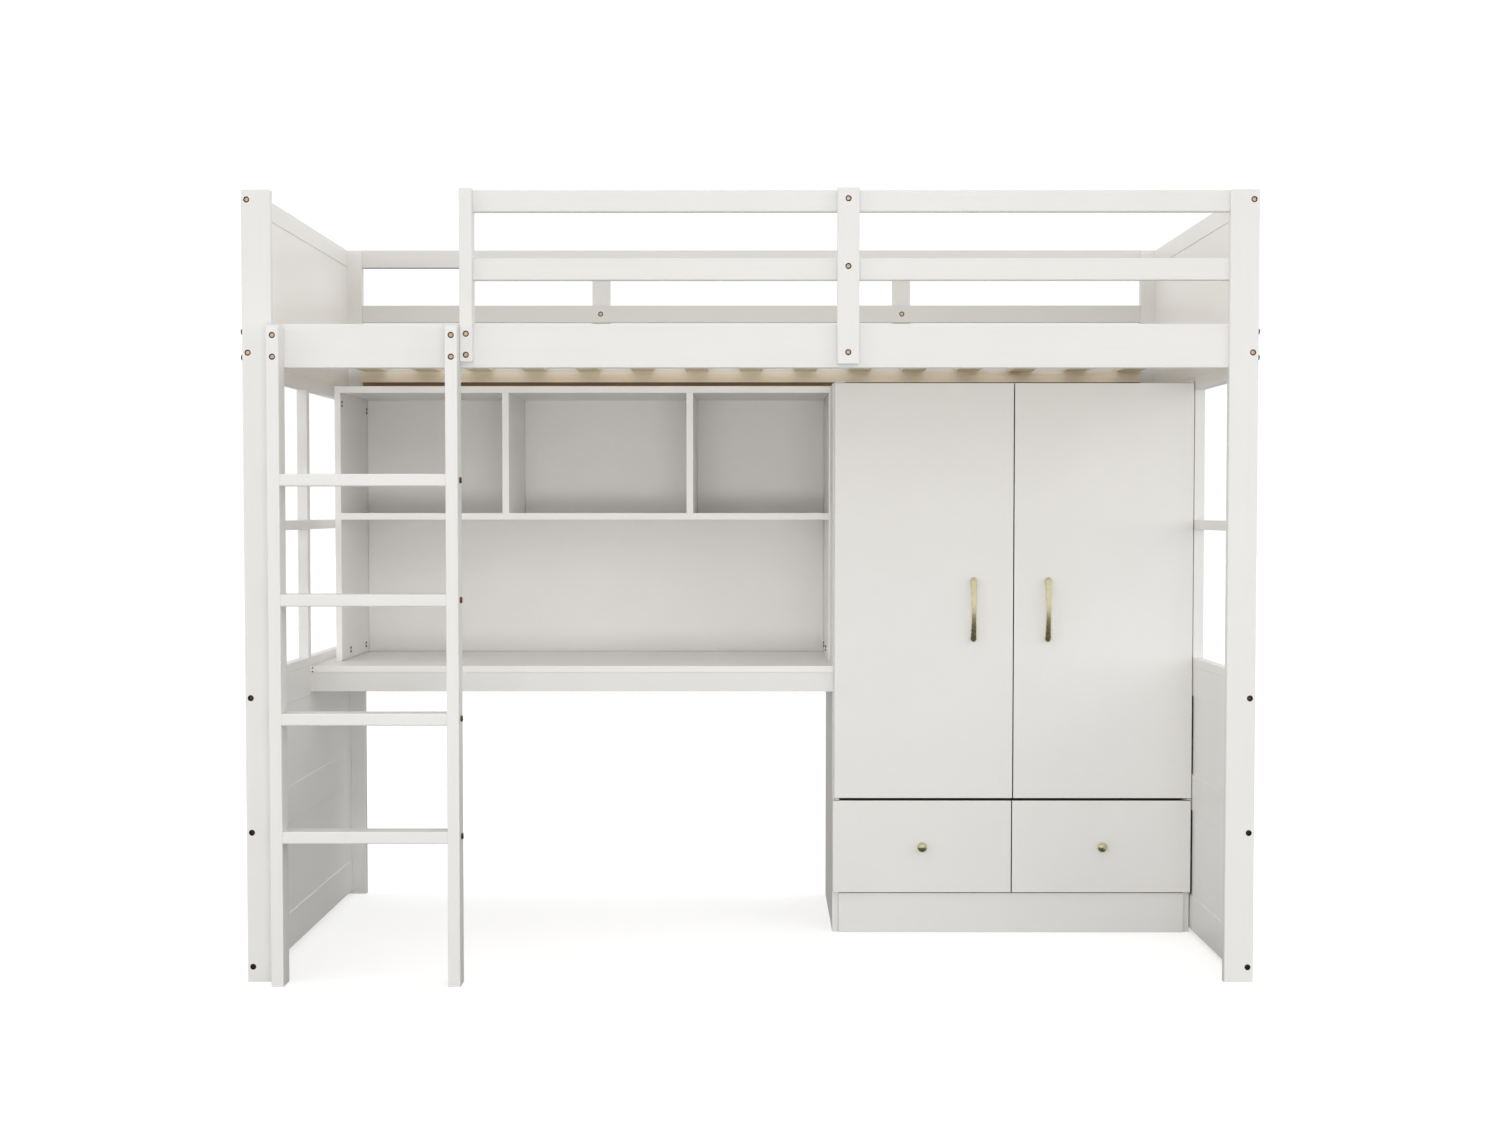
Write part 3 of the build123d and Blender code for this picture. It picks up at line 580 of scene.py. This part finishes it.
# the camera sees a paper-white sweep that only keeps the soft contact shadows
pale = fm.new("ShaderNodeBsdfDiffuse")
pale.inputs["Color"].default_value = (0.86, 0.86, 0.86, 1.0)
glow = fm.new("ShaderNodeEmission")
glow.inputs["Strength"].default_value = 0.45
both = fm.new("ShaderNodeAddShader")
fm.link(pale.outputs[0], both.inputs[0])
fm.link(glow.outputs[0], both.inputs[1])
path = fm.new("ShaderNodeLightPath")
# painted reflection: to glossy rays the floor is an emitting gradient, dark near the object and pale far off,
# which the brass and paint mirror
dim = fm.new("ShaderNodeEmission")
reach = fm.new("ShaderNodeVectorMath", operation="LENGTH")
fm.link(fm.coord, reach.inputs[0])
far = fm.math("MULTIPLY_ADD", reach.outputs["Value"], 0.22, -0.62, clamp=True)
fm.link(fm.ramp(far, [(0.0, (0.115, 0.11, 0.10)), (0.45, (0.40, 0.40, 0.38)), (1.0, (0.90, 0.90, 0.89))]), dim.inputs["Color"])
bounced = fm.new("ShaderNodeMixShader")
fm.link(path.outputs["Is Glossy Ray"], bounced.inputs[0])
fm.link(fm.bsdf.outputs[0], bounced.inputs[1])
fm.link(dim.outputs[0], bounced.inputs[2])
seen = fm.new("ShaderNodeMixShader")
fm.link(path.outputs["Is Camera Ray"], seen.inputs[0])
fm.link(bounced.outputs[0], seen.inputs[1])
fm.link(both.outputs[0], seen.inputs[2])
fm.link(seen.outputs[0], fm.out.inputs[0])
floor_mesh.materials.append(fm.mat)

world = bpy.data.worlds.new("studio")
bpy.context.scene.world = world
world.use_nodes = True
wt = world.node_tree
bg = wt.nodes["Background"]
bg.inputs["Color"].default_value = (1.0, 0.998, 0.994, 1.0)
bg.inputs["Strength"].default_value = 0.93
# the room is brightest at eye level and falls off towards the ceiling
up = wt.nodes.new("ShaderNodeSeparateXYZ")
wt.links.new(wt.nodes.new("ShaderNodeTexCoord").outputs["Generated"], up.inputs[0])
fall = wt.nodes.new("ShaderNodeValToRGB")
fall.color_ramp.elements[0].position = 0.0
fall.color_ramp.elements[0].color = (1.17, 1.168, 1.163, 1.0)
fall.color_ramp.elements[1].position = 1.0
fall.color_ramp.elements[1].color = (0.77, 0.768, 0.765, 1.0)
wt.links.new(up.outputs["Z"], fall.inputs["Fac"])
wt.links.new(fall.outputs["Color"], bg.inputs["Color"])
paper = wt.nodes.new("ShaderNodeBackground")
paper.inputs["Color"].default_value = (1.0, 1.0, 1.0, 1.0)
paper.inputs["Strength"].default_value = 1.05
wmix = wt.nodes.new("ShaderNodeMixShader")
wt.links.new(wt.nodes.new("ShaderNodeLightPath").outputs["Is Camera Ray"], wmix.inputs[0])
wt.links.new(bg.outputs[0], wmix.inputs[1])
wt.links.new(paper.outputs[0], wmix.inputs[2])
wt.links.new(wmix.outputs[0], wt.nodes["World Output"].inputs[0])


def area(name, loc, target, size, energy, size_y=None):
    l = bpy.data.lights.new(name, "AREA")
    l.shape = "RECTANGLE"
    l.size = size
    l.size_y = size_y or size
    l.energy = energy
    o = bpy.data.objects.new(name, l)
    o.location = loc
    o.rotation_euler = (Vector(target) - Vector(loc)).to_track_quat("-Z", "Y").to_euler()
    o.visible_camera = False
    bpy.context.scene.collection.objects.link(o)
    return o


area("low_front", (0.0, -5.0, 0.35), (0.0, 0.0, 1.0), 2.4, 55, 0.6).visible_glossy = False
area("front_left", (-4.2, -4.0, 1.9), (0.3, 0.0, 0.8), 2.5, 17).visible_glossy = False
area("front_right", (4.2, -4.0, 1.9), (-0.3, 0.0, 0.8), 2.5, 20).visible_glossy = False
area("top", (0.0, -1.2, 4.6), (0.0, 0.0, 0.8), 4.0, 4, 3.0)
area("right", (3.4, 0.0, 1.6), (-0.9, 0.0, 0.9), 2.5, 12).visible_glossy = False
area("left", (-3.4, 0.0, 1.6), (0.9, 0.0, 0.9), 2.5, 12).visible_glossy = False

# ------------------------------------------------------------------ camera
cam = bpy.data.cameras.new("camera")
cam.sensor_fit = "HORIZONTAL"
cam.sensor_width = 36.0
cam.lens = 53.30
cam.shift_y = 0.02597
cam.clip_end = 200.0
co = bpy.data.objects.new("camera", cam)
pitch, yaw, roll = math.radians(2.341), math.radians(-0.157), math.radians(-0.028)
fwd = Vector((math.sin(yaw) * math.cos(pitch), math.cos(yaw) * math.cos(pitch), -math.sin(pitch)))
co.rotation_mode = "QUATERNION"
co.rotation_quaternion = fwd.to_track_quat("-Z", "Y")
co.location = (0.01187, -4.356 - 0.5055, 0.9315)
bpy.context.scene.collection.objects.link(co)
bpy.context.scene.camera = co
bpy.context.scene.view_settings.view_transform = "Standard"
